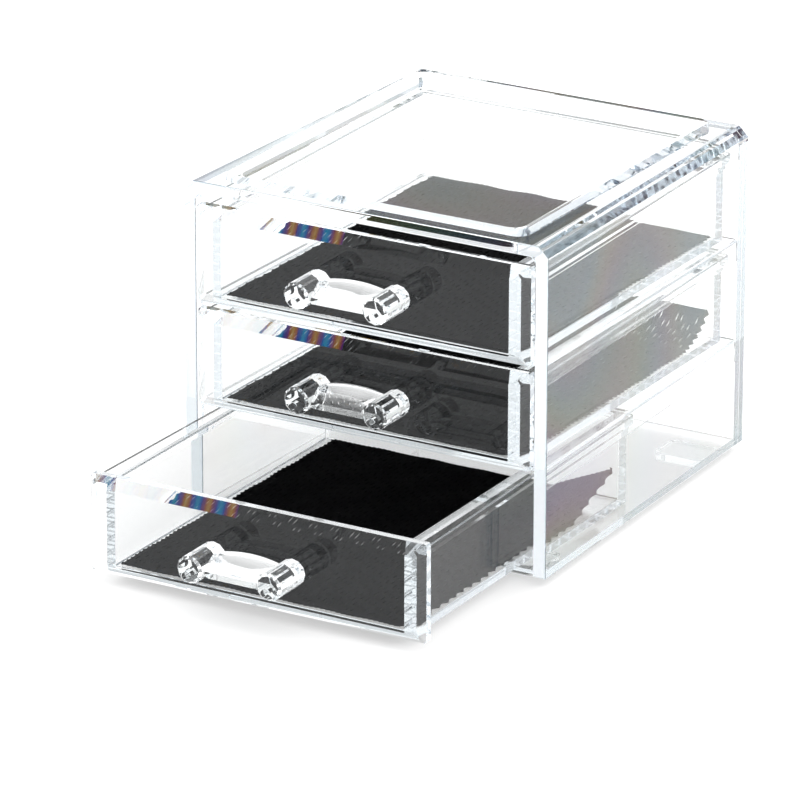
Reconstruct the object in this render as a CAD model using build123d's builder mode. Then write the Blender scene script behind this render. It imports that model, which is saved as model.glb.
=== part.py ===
from build123d import *
import os

# A small clear plastic chest with three drawers for jewellery, open at the front, in millimetres.
# X is the width, Y the depth with the front at minus, Z is up. The origin lies under the middle
# of the case, on the surface that its feet stand on. The lowest drawer stands half open.

# Case: a moulded hood of top and sides that leans in a little towards its closed back
case_width = 120.0
case_depth = 127.5
case_height = 100.0
side_lean = 2.75
top_lean = 1.0
wall = 4.0
top_thickness = 3.6
back_thickness = 3.0
floor_thickness = 1.2
top_chamfer = 3.1
inner_chamfer = 1.6
front_round = 0.5

# Raised field on the top, a flat rest for what stands on the chest
field_side_margin = 10.0
field_front_margin = 4.2
field_rear_margin = 8.3
field_height = 2.2
field_corner = 4.0
field_draft = 12.0
field_hollow_margin = 3.2

# Feet: low pads under the floor
foot_width = 16.0
foot_length = 13.0
foot_height = 2.5
foot_corner = 2.0
foot_draft = 8.0
foot_side_margin = 7.0
foot_front_margin = 5.5
foot_rear_margin = 11.0

# Drawers, one above the other
drawer_names = ("bottom", "middle", "top")
bottom_pull = 58.5
top_room = 0.3

# Drawer front: a thick bevelled plate
front_thickness = 4.4
front_bevel = 3.4
front_bevel_depth = 2.0
front_corner = 0.8
front_proud = 2.5
front_lift = 0.5
front_gap = 2.1
front_side_play = 1.0

# Drawer tray: floor, two sides and a rear wall, with a flange round the rim that follows the case
tray_inset = 4.7
tray_wall = 2.8
tray_floor = 1.5
tray_corner = 0.8
tray_inner_round = 1.0
tray_headroom = 2.8
tray_rear_play = 2.6
rim_overhang = 1.0
rim_height = 2.6
rim_round = 0.5

# Guide rails beside the rims, along the leaning sides, hanging from the shelves and from the top
rail_thickness = 1.0
rail_overlap = 3.0
rail_play = 0.6

# Handle: two faceted posts and a domed bridge, moulded in one
post_spacing = 25.9
post_diameter = 8.3
post_sides = 12
post_length = 13.5
post_chamfer = 0.7
post_drop = 1.2
pin_diameter = 3.0
pin_length = 2.8
bridge_front_gap = 2.2
bridge_rear_gap = 0.9
bridge_front_thickness = 1.9
bridge_front_drop = 0.3
bridge_end_rise = 1.6
bridge_middle_rise = 3.7
bridge_rear_drop = 0.4
bridge_crest_share = 0.85
bridge_place_shares = (-1.0, -0.5, 0.0, 0.5, 1.0)

# Liner: a laid piece of eyelet mesh with pinked edges
liner_margin = 0.8
liner_thickness = 1.0
liner_tooth = 2.8
liner_tooth_depth = 1.1
liner_gap_pitch = 6.0
liner_gap_diameter = 2.4
liner_gap_border = 4.0

# Clearances
glue_line = 0.1
slide_play = 0.2
stop_gap = 0.3
pin_play = 0.2
overrun = 1.0

# Places that several pieces share, worked out from the sizes above
front_y = -case_depth / 2
back_y = case_depth / 2
base_z = foot_height
drawer_pitch = (case_height - top_lean - top_thickness - top_room) / len(drawer_names)
front_face_y = front_y - front_proud
front_rear_y = front_face_y + front_thickness
front_width = case_width - 2 * (wall + front_side_play)
front_height = drawer_pitch - front_gap
front_middle_z = base_z + front_lift + front_height / 2
handle_z = front_middle_z - post_drop
shelf_front_y = front_rear_y + stop_gap
shelf_rear_y = back_y - back_thickness - glue_line
rail_inset = wall + rail_thickness
rail_drop = tray_headroom + rail_overlap
tray_width = front_width - 2 * tray_inset
tray_front_y = front_rear_y + glue_line
rim_rear_y = back_y - back_thickness - tray_rear_play
tray_rear_y = rim_rear_y - rim_overhang
tray_low_z = base_z + floor_thickness + slide_play
tray_inside_z = tray_low_z + tray_floor
tray_rim_z = base_z + drawer_pitch - tray_headroom
tray_height = tray_rim_z - tray_low_z

os.makedirs("parts", exist_ok=True)


def upright(y, z=base_z):
    """Plane that stands across the depth at y, seen from the front, with its own y axis up."""
    return Plane(origin=(0, y, z), x_dir=(1, 0, 0), z_dir=(0, -1, 0))


def half_width(y, side_inset):
    """Half of the leaning case's width at depth y, set in from its outer faces."""
    return case_width / 2 - side_lean * (y - front_y) / case_depth - side_inset


def hood(y, side_inset, top_inset, corner, low=0):
    """Outline of the leaning case at depth y, set in from its outer faces, with cut top corners."""
    half = half_width(y, side_inset)
    top = case_height - top_lean * (y - front_y) / case_depth - top_inset
    return [
        (-half, low),
        (half, low),
        (half, top - corner),
        (half - corner, top),
        (corner - half, top),
        (-half, top - corner),
    ]


def between_walls(side_inset, near_y=shelf_front_y, far_y=shelf_rear_y):
    """Plan of what lies between the leaning sides of the case, from one depth to another."""
    near = half_width(near_y, side_inset)
    far = half_width(far_y, side_inset)
    return [
        (-near, near_y),
        (near, near_y),
        (far, far_y),
        (-far, far_y),
    ]


def between_rails():
    """Plan of the room between the two guide rails, run past their ends."""
    return between_walls(rail_inset, shelf_front_y - overrun, shelf_rear_y + overrun)


def pinked(half, near_y, far_y):
    """Closed zigzag round a rectangle, with whole teeth along every side."""
    across = max(1, round(2 * half / liner_tooth))
    along = max(1, round((far_y - near_y) / liner_tooth))
    corners = [(-half, near_y), (half, near_y), (half, far_y), (-half, far_y)]
    inward = [(0, 1), (-1, 0), (0, -1), (1, 0)]
    points = []
    for side, count in enumerate((across, along, across, along)):
        start_x, start_y = corners[side]
        end_x, end_y = corners[(side + 1) % len(corners)]
        in_x, in_y = inward[side]
        for tooth in range(count):
            tip_share = tooth / count
            notch_share = (tooth + 1 / 2) / count
            points.append((start_x + (end_x - start_x) * tip_share, start_y + (end_y - start_y) * tip_share))
            notch_x = start_x + (end_x - start_x) * notch_share + in_x * liner_tooth_depth
            notch_y = start_y + (end_y - start_y) * notch_share + in_y * liner_tooth_depth
            points.append((notch_x, notch_y))
    return points


# Case shell: top and two sides in one moulding, with the raised field and two guide rails
with BuildPart() as case_shell:
    for section_y in (front_y, back_y):
        with BuildSketch(upright(section_y)):
            with BuildLine():
                Polyline(*hood(section_y, 0, 0, top_chamfer), close=True)
            make_face()
    loft(ruled=True)
    field_width = case_width - 2 * field_side_margin
    field_length = case_depth - field_front_margin - field_rear_margin
    field_middle_y = (field_front_margin - field_rear_margin) / 2
    with BuildSketch(Plane.XY.offset(base_z + case_height - top_thickness)):
        with Locations((0, field_middle_y)):
            RectangleRounded(field_width, field_length, field_corner)
    extrude(amount=top_thickness)
    with BuildSketch(Plane.XY.offset(base_z + case_height)):
        with Locations((0, field_middle_y)):
            RectangleRounded(field_width, field_length, field_corner)
    extrude(amount=field_height, taper=field_draft)
    for section_y in (front_y - overrun, back_y + overrun):
        with BuildSketch(upright(section_y)):
            with BuildLine():
                Polyline(*hood(section_y, wall, top_thickness, inner_chamfer, -overrun), close=True)
            make_face()
    loft(ruled=True, mode=Mode.SUBTRACT)
    hollow_width = field_width - 2 * field_hollow_margin
    hollow_length = field_length - 2 * field_hollow_margin
    with BuildSketch(Plane.XY.offset(base_z + case_height + field_height - top_thickness)):
        with Locations((0, field_middle_y)):
            RectangleRounded(hollow_width, hollow_length, field_corner)
    extrude(amount=-(field_height + top_lean), mode=Mode.SUBTRACT)
    front_edges = case_shell.faces().sort_by(Axis.Y)[0].edges()
    fillet(front_edges, front_round)
    rail_low_z = base_z + len(drawer_names) * drawer_pitch - rail_drop
    rail_top_z = base_z + case_height - top_lean - top_thickness / 2
    with BuildSketch(Plane.XY.offset(rail_low_z)):
        with BuildLine():
            Polyline(*between_walls(wall / 2), close=True)
        make_face()
        with BuildLine():
            Polyline(*between_rails(), close=True)
        make_face(mode=Mode.SUBTRACT)
    extrude(amount=rail_top_z - rail_low_z)
case_shell.part.label = "case_shell"
export_step(case_shell.part, "parts/case_shell.step")

# Case back: a plate set into the rear of the shell
with BuildPart() as case_back:
    for section_y in (back_y - back_thickness, back_y):
        with BuildSketch(upright(section_y)):
            with BuildLine():
                Polyline(*hood(section_y, wall + glue_line, top_thickness + glue_line, inner_chamfer), close=True)
            make_face()
    loft(ruled=True)
case_back.part.label = "case_back"
export_step(case_back.part, "parts/case_back.step")

# Case floor: a plate between the sides, behind the lowest drawer front
with BuildPart() as case_floor:
    with BuildSketch(Plane.XY.offset(base_z)):
        with BuildLine():
            Polyline(*between_walls(wall + glue_line), close=True)
        make_face()
    extrude(amount=floor_thickness)
case_floor.part.label = "case_floor"
export_step(case_floor.part, "parts/case_floor.step")

# Shelf: a plate that carries a drawer, with two rails beside the rim of the drawer below
with BuildPart() as shelf:
    with BuildSketch(Plane.XY.offset(base_z)):
        with BuildLine():
            Polyline(*between_walls(wall + glue_line), close=True)
        make_face()
    extrude(amount=floor_thickness)
    with BuildSketch(Plane.XY.offset(base_z)):
        with BuildLine():
            Polyline(*between_walls(wall + glue_line), close=True)
        make_face()
        with BuildLine():
            Polyline(*between_rails(), close=True)
        make_face(mode=Mode.SUBTRACT)
    extrude(amount=-rail_drop)
for level, shelf_name in ((1, "shelf_lower"), (2, "shelf_upper")):
    placed = shelf.part.moved(Location((0, 0, level * drawer_pitch)))
    placed.label = shelf_name
    export_step(placed, f"parts/{shelf_name}.step")

# Foot: a low pad under the floor, wider at the top
with BuildPart() as foot:
    with BuildSketch(Plane.XY.offset(base_z - glue_line)):
        RectangleRounded(foot_width, foot_length, foot_corner)
    extrude(amount=-(foot_height - glue_line), taper=foot_draft)
foot_x = case_width / 2 - foot_side_margin - foot_width / 2
foot_front_y = front_y + foot_front_margin + foot_length / 2
foot_rear_y = back_y - foot_rear_margin - foot_length / 2
for row_y, row_name in ((foot_front_y, "front"), (foot_rear_y, "rear")):
    for side, side_name in ((-1, "left"), (1, "right")):
        placed = foot.part.moved(Location((side * foot_x, row_y, 0)))
        placed.label = f"foot_{row_name}_{side_name}"
        export_step(placed, f"parts/foot_{row_name}_{side_name}.step")

# Drawer tray: the closed lowest place, open at the front where the drawer front shuts it
with BuildPart() as tray:
    with BuildSketch(Plane.XY.offset(tray_low_z)) as tray_plan:
        with Locations((0, (tray_front_y + tray_rear_y) / 2)):
            Rectangle(tray_width, tray_rear_y - tray_front_y)
        fillet(tray_plan.vertices().group_by(Axis.Y)[-1], tray_corner)
    extrude(amount=tray_height)
    with BuildSketch(Plane.XY.offset(tray_rim_z - rim_height)) as rim_plan:
        with BuildLine():
            Polyline(*between_walls(rail_inset + rail_play, tray_front_y, rim_rear_y), close=True)
        make_face()
        fillet(rim_plan.vertices().group_by(Axis.Y)[-1], tray_corner + rim_overhang)
    extrude(amount=rim_height)
    inside_width = tray_width - 2 * tray_wall
    inside_rear_y = tray_rear_y - tray_wall
    with BuildSketch(Plane.XY.offset(tray_inside_z)) as inside_plan:
        with Locations((0, (tray_front_y - overrun + inside_rear_y) / 2)):
            Rectangle(inside_width, inside_rear_y - tray_front_y + overrun)
        fillet(inside_plan.vertices().group_by(Axis.Y)[-1], tray_inner_round)
    extrude(amount=tray_height, mode=Mode.SUBTRACT)
    inside_edges = tray.edges().group_by(Axis.Z)[1].sort_by(Axis.Y)[1:]
    fillet(inside_edges, tray_inner_round / 2)
    top_edges = tray.edges().group_by(Axis.Z)[-1].sort_by(Axis.Y)
    fillet(top_edges[2:], rim_round)

# Drawer front: a plate with a bevel all round its face and two blind holes for the handle
with BuildPart() as drawer_front:
    bevel_y = front_face_y + front_bevel_depth
    face_width = front_width - 2 * front_bevel
    face_height = front_height - 2 * front_bevel
    with BuildSketch(upright(front_rear_y, front_middle_z)):
        RectangleRounded(front_width, front_height, front_corner)
    extrude(amount=front_thickness - front_bevel_depth)
    with BuildSketch(upright(bevel_y, front_middle_z)):
        RectangleRounded(front_width, front_height, front_corner)
    with BuildSketch(upright(front_face_y, front_middle_z)):
        RectangleRounded(face_width, face_height, front_corner)
    loft(ruled=True)
    with Locations(upright(front_face_y, handle_z)):
        with GridLocations(post_spacing, post_spacing, 2, 1):
            Hole(pin_diameter / 2 + pin_play, depth=pin_length + pin_play)

# Handle: faceted posts with short pins in the drawer front, and a domed bridge with a flat underside
with BuildPart() as handle:
    post_root_y = front_face_y - glue_line
    with BuildSketch(upright(post_root_y, handle_z)):
        with GridLocations(post_spacing, post_spacing, 2, 1):
            RegularPolygon(post_diameter / 2, post_sides)
    extrude(amount=post_length)
    chamfer(handle.faces().sort_by(Axis.Y)[:2].edges(), post_chamfer)
    with BuildSketch(upright(post_root_y, handle_z)):
        with GridLocations(post_spacing, post_spacing, 2, 1):
            Circle(pin_diameter / 2)
    extrude(amount=-pin_length)
    bridge_depth = post_length - bridge_front_gap - bridge_rear_gap
    bridge_front_y = post_root_y - post_length + bridge_front_gap
    bridge_low = -bridge_front_drop - bridge_front_thickness
    for place_share in bridge_place_shares:
        crest = bridge_end_rise + (bridge_middle_rise - bridge_end_rise) * (1 - place_share**2)
        front_top = (0, -bridge_front_drop)
        rear_top = (bridge_depth, crest - bridge_rear_drop)
        place = (place_share * post_spacing / 2, bridge_front_y, handle_z)
        with BuildSketch(Plane(origin=place, x_dir=(0, 1, 0), z_dir=(1, 0, 0))):
            with BuildLine():
                Polyline(rear_top, (bridge_depth, bridge_low), (0, bridge_low), front_top)
                ThreePointArc(front_top, (bridge_depth * bridge_crest_share, crest), rear_top)
            make_face()
    loft()

# Liner: the mesh as a thin plate with its pinked edge and open gaps, laid on the tray floor
with BuildPart() as liner:
    liner_half = inside_width / 2 - liner_margin
    liner_near_y = tray_front_y + liner_margin
    liner_far_y = inside_rear_y - liner_margin
    gaps_across = int((2 * liner_half - 2 * liner_gap_border) / liner_gap_pitch)
    gaps_along = int((liner_far_y - liner_near_y - 2 * liner_gap_border) / liner_gap_pitch)
    with BuildSketch(Plane.XY.offset(tray_inside_z + glue_line)):
        with BuildLine():
            Polyline(*pinked(liner_half, liner_near_y, liner_far_y), close=True)
        make_face()
        with Locations((0, (liner_near_y + liner_far_y) / 2)):
            with GridLocations(liner_gap_pitch, liner_gap_pitch, gaps_across, gaps_along):
                Circle(liner_gap_diameter / 2, mode=Mode.SUBTRACT)
    extrude(amount=liner_thickness)

# Three drawers: the same four pieces at each level, the lowest one pulled out
for level, drawer_name in enumerate(drawer_names):
    pull = bottom_pull if level == 0 else 0
    place = Location((0, -pull, level * drawer_pitch))
    pieces = ((tray, "tray"), (drawer_front, "front"), (handle, "handle"), (liner, "liner"))
    for piece, piece_name in pieces:
        placed = piece.part.moved(place)
        placed.label = f"{drawer_name}_drawer_{piece_name}"
        export_step(placed, f"parts/{drawer_name}_drawer_{piece_name}.step")
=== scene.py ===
import math

import bmesh
import bpy
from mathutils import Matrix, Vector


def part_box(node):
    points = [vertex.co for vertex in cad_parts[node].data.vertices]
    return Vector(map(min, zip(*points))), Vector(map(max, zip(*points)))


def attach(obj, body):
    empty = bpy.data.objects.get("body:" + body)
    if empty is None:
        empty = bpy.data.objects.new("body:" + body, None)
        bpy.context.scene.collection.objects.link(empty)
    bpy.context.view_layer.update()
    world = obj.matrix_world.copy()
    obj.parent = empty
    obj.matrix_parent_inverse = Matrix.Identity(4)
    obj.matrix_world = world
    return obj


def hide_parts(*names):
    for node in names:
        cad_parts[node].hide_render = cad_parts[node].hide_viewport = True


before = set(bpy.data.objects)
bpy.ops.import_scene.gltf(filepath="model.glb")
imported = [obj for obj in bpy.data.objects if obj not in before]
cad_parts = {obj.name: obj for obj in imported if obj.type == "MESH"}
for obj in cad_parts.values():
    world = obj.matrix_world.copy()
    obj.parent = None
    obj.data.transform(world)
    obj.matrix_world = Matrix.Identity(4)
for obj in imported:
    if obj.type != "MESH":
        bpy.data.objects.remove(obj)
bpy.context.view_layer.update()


# Case shell: the clear hood of top and sides, injection moulded in polished styrene or acrylic.
# Its faces have the slight ripple of a moulding and faint stress colours, and its edges look cool grey.
def clear_plastic(name, tint, ripple_size, ripple_height):
    """Clear moulded plastic with rippled faces and a little haze that varies from place to place."""
    material = bpy.data.materials.new(name)
    material.use_nodes = True
    nodes = material.node_tree.nodes
    links = material.node_tree.links
    plastic = nodes["Principled BSDF"]
    plastic.inputs["Base Color"].default_value = (*tint, 1.0)
    plastic.inputs["Transmission Weight"].default_value = 1.0
    plastic.inputs["IOR"].default_value = 1.49
    plastic.inputs["Specular Tint"].default_value = (0.7, 0.71, 0.72, 1.0)
    place = nodes.new("ShaderNodeTexCoord")
    ripple = nodes.new("ShaderNodeTexNoise")
    ripple.inputs["Scale"].default_value = 1.0 / ripple_size
    ripple.inputs["Detail"].default_value = 1.5
    ripple.inputs["Roughness"].default_value = 0.4
    links.new(place.outputs["Object"], ripple.inputs["Vector"])
    bump = nodes.new("ShaderNodeBump")
    bump.inputs["Strength"].default_value = 1.0
    bump.inputs["Distance"].default_value = ripple_height
    links.new(ripple.outputs["Fac"], bump.inputs["Height"])
    links.new(bump.outputs["Normal"], plastic.inputs["Normal"])
    haze = nodes.new("ShaderNodeTexNoise")
    haze.inputs["Scale"].default_value = 90.0
    haze.inputs["Detail"].default_value = 4.0
    links.new(place.outputs["Object"], haze.inputs["Vector"])
    haze_range = nodes.new("ShaderNodeMapRange")
    haze_range.inputs["From Min"].default_value = 0.45
    haze_range.inputs["From Max"].default_value = 0.8
    haze_range.inputs["To Min"].default_value = 0.003
    haze_range.inputs["To Max"].default_value = 0.025
    links.new(haze.outputs["Fac"], haze_range.inputs["Value"])
    links.new(haze_range.outputs["Result"], plastic.inputs["Roughness"])
    depth = nodes.new("ShaderNodeVolumeAbsorption")
    depth.inputs["Color"].default_value = (0.72, 0.77, 0.81, 1.0)
    depth.inputs["Density"].default_value = 6.5
    output = nodes["Material Output"]
    links.new(depth.outputs["Volume"], output.inputs["Volume"])
    light_path = nodes.new("ShaderNodeLightPath")
    shadow_pass = nodes.new("ShaderNodeBsdfTransparent")
    shadow_pass.inputs["Color"].default_value = (0.97, 0.975, 0.98, 1.0)
    either = nodes.new("ShaderNodeMixShader")
    links.new(light_path.outputs["Is Shadow Ray"], either.inputs["Fac"])
    links.new(plastic.outputs["BSDF"], either.inputs[1])
    links.new(shadow_pass.outputs["BSDF"], either.inputs[2])
    links.new(either.outputs["Shader"], output.inputs["Surface"])
    return material


def stress_clouds(material, thinnest, thickest):
    """Broad soft clouds of stress colour, as a thin film whose thickness, in nanometres, drifts."""
    nodes = material.node_tree.nodes
    links = material.node_tree.links
    place = nodes.new("ShaderNodeTexCoord")
    flow = nodes.new("ShaderNodeTexNoise")
    flow.inputs["Scale"].default_value = 16.0
    flow.inputs["Detail"].default_value = 0.0
    links.new(place.outputs["Object"], flow.inputs["Vector"])
    film = nodes.new("ShaderNodeMapRange")
    film.inputs["From Min"].default_value = 0.3
    film.inputs["From Max"].default_value = 0.7
    film.inputs["To Min"].default_value = thinnest
    film.inputs["To Max"].default_value = thickest
    links.new(flow.outputs["Fac"], film.inputs["Value"])
    plastic = nodes["Principled BSDF"]
    plastic.inputs["Thin Film IOR"].default_value = 1.38
    links.new(film.outputs["Result"], plastic.inputs["Thin Film Thickness"])


clear_tint = (0.99, 0.995, 0.995)
clear_case = clear_plastic("clear_case", clear_tint, ripple_size=0.03, ripple_height=0.000008)
stress_clouds(clear_case, thinnest=250.0, thickest=620.0)
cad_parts["case_shell"].material_slots[0].material = clear_case

# Case back, floor and shelves: thin clear plates bonded between the sides of the shell.
# They are the same plastic, with a broader ripple.
clear_plate = clear_plastic("clear_plate", clear_tint, ripple_size=0.045, ripple_height=0.00002)
for plate in ("case_back", "case_floor", "shelf_lower", "shelf_upper"):
    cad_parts[plate].material_slots[0].material = clear_plate

# Feet: four low pads, moulded in the same clear plastic and bonded under the floor, near its corners.
# They taper downwards, and their skin is more uneven than the plates' is.
foot_tint = (0.97, 0.98, 0.98)
clear_foot = clear_plastic("clear_foot", foot_tint, ripple_size=0.01, ripple_height=0.00003)
for foot in ("foot_front_left", "foot_front_right", "foot_rear_left", "foot_rear_right"):
    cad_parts[foot].material_slots[0].material = clear_foot

# Drawer trays: clear mouldings of a floor, two sides and a rear wall, with a flange round the rim.
# Each is open at the front and slides on the case's floor or on a shelf.
clear_tray = clear_plastic("clear_tray", clear_tint, ripple_size=0.03, ripple_height=0.00002)
drawers = ("bottom", "middle", "top")
for drawer in drawers:
    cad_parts[f"{drawer}_drawer_tray"].material_slots[0].material = clear_tray

# Drawer fronts: clear plates with a bevelled face, moulded and bonded to the front of the trays.
# At its upper left the bevel shows bands of colour, partly stress colour of the moulding and partly prism
# colour of the light, which is painted here as a thin film in nanometres.
bevel_rise = 0.53
bevel_rise_play = 0.2
band_width = 0.00375
band_thinnest = 74.0
band_thickest = 134.0
streak_growth = 24.0
bands_end_x = -0.0055
clear_front = clear_plastic("clear_front", clear_tint, ripple_size=0.035, ripple_height=0.00001)
front_nodes = clear_front.node_tree.nodes
front_links = clear_front.node_tree.links
front_place = front_nodes.new("ShaderNodeTexCoord")
facing = front_nodes.new("ShaderNodeSeparateXYZ")
front_links.new(front_place.outputs["Normal"], facing.inputs["Vector"])
upper_bevel = front_nodes.new("ShaderNodeMath")
upper_bevel.operation = "COMPARE"
upper_bevel.inputs[1].default_value = bevel_rise
upper_bevel.inputs[2].default_value = bevel_rise_play
front_links.new(facing.outputs["Z"], upper_bevel.inputs[0])
along = front_nodes.new("ShaderNodeSeparateXYZ")
front_links.new(front_place.outputs["Object"], along.inputs["Vector"])
band = front_nodes.new("ShaderNodeMath")
band.operation = "PINGPONG"
band.inputs[1].default_value = band_width
front_links.new(along.outputs["X"], band.inputs[0])
fringe = front_nodes.new("ShaderNodeMapRange")
fringe.inputs["From Min"].default_value = 0.0
fringe.inputs["From Max"].default_value = band_width
fringe.inputs["To Min"].default_value = band_thinnest
fringe.inputs["To Max"].default_value = band_thickest
front_links.new(band.outputs["Value"], fringe.inputs["Value"])
streak = front_nodes.new("ShaderNodeTexNoise")
streak.noise_dimensions = "1D"
streak.inputs["Scale"].default_value = 900.0
streak.inputs["Detail"].default_value = 2.0
front_links.new(along.outputs["X"], streak.inputs["W"])
streaked = front_nodes.new("ShaderNodeMath")
streaked.operation = "MULTIPLY_ADD"
streaked.inputs[1].default_value = streak_growth
front_links.new(streak.outputs["Fac"], streaked.inputs[0])
front_links.new(fringe.outputs["Result"], streaked.inputs[2])
banded_end = front_nodes.new("ShaderNodeMath")
banded_end.operation = "LESS_THAN"
banded_end.inputs[1].default_value = bands_end_x
front_links.new(along.outputs["X"], banded_end.inputs[0])
# Painted prism colours: the film is kept to the upper bevel, left of bands_end_x, where light split by
# the bevel shows colour.
painted_prism_place = front_nodes.new("ShaderNodeMath")
painted_prism_place.operation = "MULTIPLY"
front_links.new(upper_bevel.outputs["Value"], painted_prism_place.inputs[0])
front_links.new(banded_end.outputs["Value"], painted_prism_place.inputs[1])
painted_prism_film = front_nodes.new("ShaderNodeMath")
painted_prism_film.operation = "MULTIPLY"
front_links.new(streaked.outputs["Value"], painted_prism_film.inputs[0])
front_links.new(painted_prism_place.outputs["Value"], painted_prism_film.inputs[1])
front_plastic = front_nodes["Principled BSDF"]
front_plastic.inputs["Thin Film IOR"].default_value = 2.4
front_links.new(painted_prism_film.outputs["Value"], front_plastic.inputs["Thin Film Thickness"])
for drawer in drawers:
    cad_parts[f"{drawer}_drawer_front"].material_slots[0].material = clear_front

# Handles: two faceted posts and a domed bridge in one clear moulding.
# Each is set into its drawer front with two short pins and bonded there.
clear_handle = clear_plastic("clear_handle", clear_tint, ripple_size=0.012, ripple_height=0.00001)
for drawer in drawers:
    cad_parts[f"{drawer}_drawer_handle"].material_slots[0].material = clear_handle

# Liners: pieces of soft black eyelet mesh, cut by hand and laid loose on the tray floors.
# The eyelets stand in pairs, and the cut through them leaves teeth along the edges.
# The lowest liner's rear right corner is turned up, and so is the middle one's rear edge.
black_mesh = bpy.data.materials.new("black_mesh")
black_mesh.use_nodes = True
mesh_nodes = black_mesh.node_tree.nodes
mesh_links = black_mesh.node_tree.links
yarn = mesh_nodes["Principled BSDF"]
yarn.inputs["Roughness"].default_value = 0.75
yarn.inputs["Specular IOR Level"].default_value = 0.05
mesh_place = mesh_nodes.new("ShaderNodeTexCoord")
fibre = mesh_nodes.new("ShaderNodeTexNoise")
fibre.inputs["Scale"].default_value = 2500.0
mesh_links.new(mesh_place.outputs["Object"], fibre.inputs["Vector"])
fibre_colour = mesh_nodes.new("ShaderNodeValToRGB")
fibre_colour.color_ramp.elements[0].color = (0.001, 0.001, 0.0012, 1.0)
fibre_colour.color_ramp.elements[1].color = (0.008, 0.008, 0.009, 1.0)
mesh_links.new(fibre.outputs["Fac"], fibre_colour.inputs["Fac"])
mesh_links.new(fibre_colour.outputs["Color"], yarn.inputs["Base Color"])
fibre_bump = mesh_nodes.new("ShaderNodeBump")
fibre_bump.inputs["Distance"].default_value = 0.0001
mesh_links.new(fibre.outputs["Fac"], fibre_bump.inputs["Height"])
mesh_links.new(fibre_bump.outputs["Normal"], yarn.inputs["Normal"])

columns = 108
rows = 100
block_columns = 4
block_rows = 2
border_cells = 2
liner_thickness = 0.0004
eyelet_end_pinch = 0.34
eyelet_middle_pinch = 0.23
wave_height = 0.00012
waves_across = 29.0
waves_along = 23.0
drift = 0.0002
side_drift_waves = 41.0
end_drift_waves = 37.0
taper = 0.002
turned_edges = {"bottom": 0.0, "middle": 0.0085, "top": 0.0}
turn_start = 0.87
turn_left = 0.35
turn_full = 0.8
turn_curl = 1.6
turned_corners = {"bottom": 0.0095, "middle": 0.0, "top": 0.0}
corner_start = 0.77
right_tooth_rows = {"bottom": 4, "middle": 2, "top": 2}
right_tooth_depths = {"bottom": 0.0015, "middle": 0.0012, "top": 0.0012}
left_tooth_rows = {"bottom": 2, "middle": 4, "top": 4}
left_tooth_depth = 0.0016
end_tooth_columns = 2
end_tooth_depth = 0.0005
smooth_angle = math.radians(50.0)


def share_between(value, start, end):
    """How far a value has come from start to end, kept between 0 and 1."""
    return min(1.0, max(0.0, (value - start) / (end - start)))


def notch_share(step, steps):
    """Depth of a row of pinked teeth at one step along the edge: 1 in a notch, 0 at a tip."""
    return abs(step % steps / (steps / 2) - 1.0)


for drawer in drawers:
    low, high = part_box(f"{drawer}_drawer_liner")
    width = high.x - low.x
    length = high.y - low.y
    bpy.ops.object.select_all(action="DESELECT")
    bpy.ops.mesh.primitive_grid_add(x_subdivisions=columns, y_subdivisions=rows, size=1.0)
    liner = bpy.context.active_object
    liner.name = f"{drawer}_mesh_liner"
    bpy.ops.object.mode_set(mode="EDIT")
    bpy.ops.transform.translate(value=(0.5, 0.5, 0.0))
    bpy.ops.mesh.select_mode(type="FACE")
    bpy.ops.mesh.select_all(action="DESELECT")
    cells = bmesh.from_edit_mesh(liner.data)
    for cell in cells.faces:
        middle = cell.calc_center_median()
        column = int(middle.x * columns)
        row = int(middle.y * rows)
        column_inside = border_cells <= column < columns - border_cells
        row_inside = border_cells <= row < rows - border_cells
        eyelet_block = (column // block_columns + row // block_rows) % 2 == 0
        cell.select_set(column_inside and row_inside and eyelet_block and column % 2 == 0)
    bmesh.update_edit_mesh(liner.data)
    bpy.ops.mesh.delete(type="FACE")
    bpy.ops.object.mode_set(mode="OBJECT")
    for point in liner.data.vertices:
        across, along_y = point.co.x, point.co.y
        column = round(across * columns)
        row = round(along_y * rows)
        x = low.x + width * across
        x += drift * math.sin(side_drift_waves * along_y) + taper * along_y * (1.0 - across)
        y = low.y + length * along_y + drift * math.sin(end_drift_waves * across)
        wave = math.sin(waves_across * across) * math.sin(waves_along * along_y)
        z = low.z + liner_thickness / 2 + wave_height * (1.0 + wave)
        edge_share = share_between(along_y, turn_start, 1.0) ** turn_curl
        edge_share *= share_between(across, turn_left, turn_full)
        corner_reach = (across + along_y - 2.0 * corner_start) / (1.0 - corner_start)
        corner_share = share_between(corner_reach, 1.0, 2.0)
        z += turned_edges[drawer] * edge_share + turned_corners[drawer] * corner_share
        if column == 0:
            x += left_tooth_depth * notch_share(row, left_tooth_rows[drawer])
        elif column == columns:
            x -= right_tooth_depths[drawer] * notch_share(row, right_tooth_rows[drawer])
        else:
            pinch = eyelet_end_pinch if row % block_rows == 0 else eyelet_middle_pinch
            x += width / columns * pinch * (1.0 if column % 2 == 0 else -1.0)
        if row == 0:
            y += end_tooth_depth * notch_share(column, end_tooth_columns)
        elif row == rows:
            y -= end_tooth_depth * notch_share(column, end_tooth_columns)
        point.co = (x, y, z)
    thick = liner.modifiers.new("thick", "SOLIDIFY")
    thick.thickness = liner_thickness
    thick.offset = 0.0
    bpy.ops.object.modifier_apply(modifier="thick")
    bpy.ops.object.shade_smooth_by_angle(angle=smooth_angle)
    liner.data.materials.append(black_mesh)
    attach(liner, f"{drawer}_drawer")
    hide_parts(f"{drawer}_drawer_liner")

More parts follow.
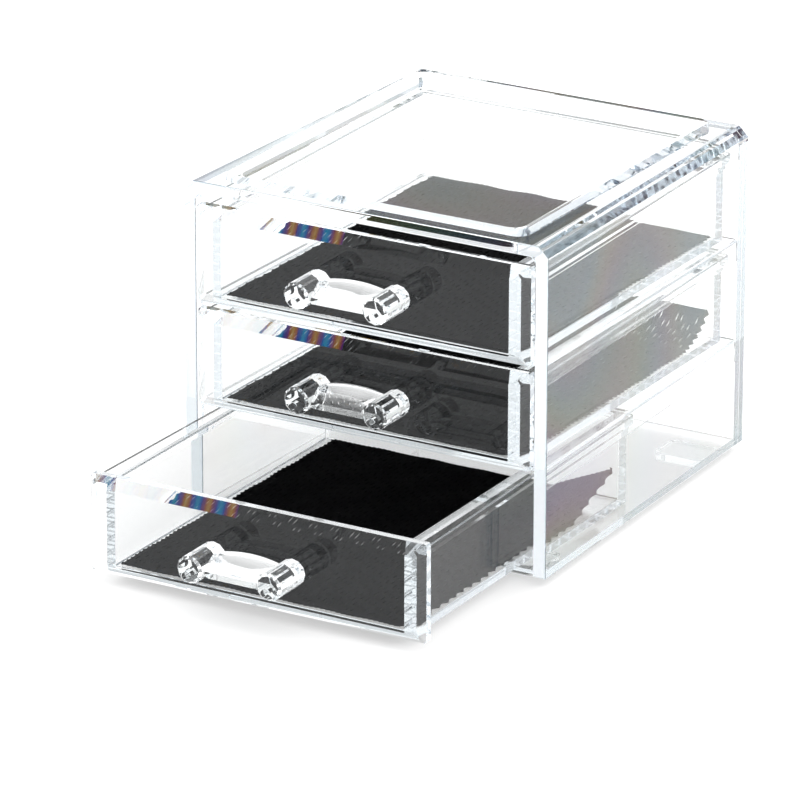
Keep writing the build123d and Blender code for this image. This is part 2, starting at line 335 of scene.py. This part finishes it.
# Studio: a pale sweep that the chest stands on, which gives off some light of its own.
# A white tent stands over it, brighter overhead and darker behind the camera, with one softbox.
bpy.ops.object.select_all(action="DESELECT")
bpy.ops.mesh.primitive_plane_add(size=12.0, location=(0.0, 3.0, -0.0002))
sweep = bpy.context.active_object
sweep.name = "studio_sweep"
pale = bpy.data.materials.new("pale_sweep")
pale.use_nodes = True
pale_face = pale.node_tree.nodes["Principled BSDF"]
pale_face.inputs["Base Color"].default_value = (0.55, 0.55, 0.55, 1.0)
pale_face.inputs["Emission Color"].default_value = (1.0, 1.0, 1.0, 1.0)
pale_face.inputs["Emission Strength"].default_value = 0.58
pale_face.inputs["Roughness"].default_value = 0.6
pale_face.inputs["Specular IOR Level"].default_value = 0.1
sweep.data.materials.append(pale)

studio = bpy.data.worlds.new("studio")
bpy.context.scene.world = studio
studio.use_nodes = True
tent_nodes = studio.node_tree.nodes
tent_links = studio.node_tree.links
tent = tent_nodes["Background"]
tent.inputs["Strength"].default_value = 1.0
tent_place = tent_nodes.new("ShaderNodeTexCoord")
tent_axes = tent_nodes.new("ShaderNodeSeparateXYZ")
tent_links.new(tent_place.outputs["Generated"], tent_axes.inputs["Vector"])
overhead = tent_nodes.new("ShaderNodeMapRange")
overhead.inputs["From Min"].default_value = 0.0
overhead.inputs["From Max"].default_value = 0.9
overhead.inputs["To Min"].default_value = 0.9
overhead.inputs["To Max"].default_value = 1.6
tent_links.new(tent_axes.outputs["Z"], overhead.inputs["Value"])
camera_side = tent_nodes.new("ShaderNodeMapRange")
camera_side.inputs["From Min"].default_value = -1.0
camera_side.inputs["From Max"].default_value = -0.2
camera_side.inputs["To Min"].default_value = 0.6
camera_side.inputs["To Max"].default_value = 1.0
tent_links.new(tent_axes.outputs["Y"], camera_side.inputs["Value"])
tent_light = tent_nodes.new("ShaderNodeMath")
tent_light.operation = "MULTIPLY"
tent_links.new(overhead.outputs["Result"], tent_light.inputs[0])
tent_links.new(camera_side.outputs["Result"], tent_light.inputs[1])
tent_links.new(tent_light.outputs["Value"], tent.inputs["Color"])

bpy.ops.object.light_add(type="AREA", location=(0.5, 0.7, 1.3))
softbox = bpy.context.active_object
softbox.rotation_euler = (math.radians(-28.0), math.radians(20.0), 0.0)
softbox.data.shape = "RECTANGLE"
softbox.data.size = 1.0
softbox.data.size_y = 1.0
softbox.data.energy = 6.0

camera_pitch = math.radians(90.0 - 20.6071)
camera_turn = math.radians(30.0203)
camera_roll = math.radians(0.12)
bpy.ops.object.camera_add(
    location=(0.91454, -1.6252, 0.72631),
    rotation=(camera_pitch, 0.0, camera_turn),
)
camera = bpy.context.active_object
camera.rotation_euler.rotate_axis("Z", camera_roll)
camera.data.sensor_width = 36.0
camera.data.lens = 303.47
camera.data.clip_end = 50.0
bpy.context.scene.camera = camera

bpy.context.scene.view_settings.view_transform = "Standard"
bpy.context.scene.view_settings.gamma = 0.85
light_bounces = 128
bpy.context.scene.cycles.max_bounces = light_bounces
bpy.context.scene.cycles.transmission_bounces = light_bounces
bpy.context.scene.cycles.glossy_bounces = light_bounces
bpy.context.scene.cycles.transparent_max_bounces = 64
bpy.context.scene.cycles.caustics_reflective = False
bpy.context.scene.cycles.caustics_refractive = False
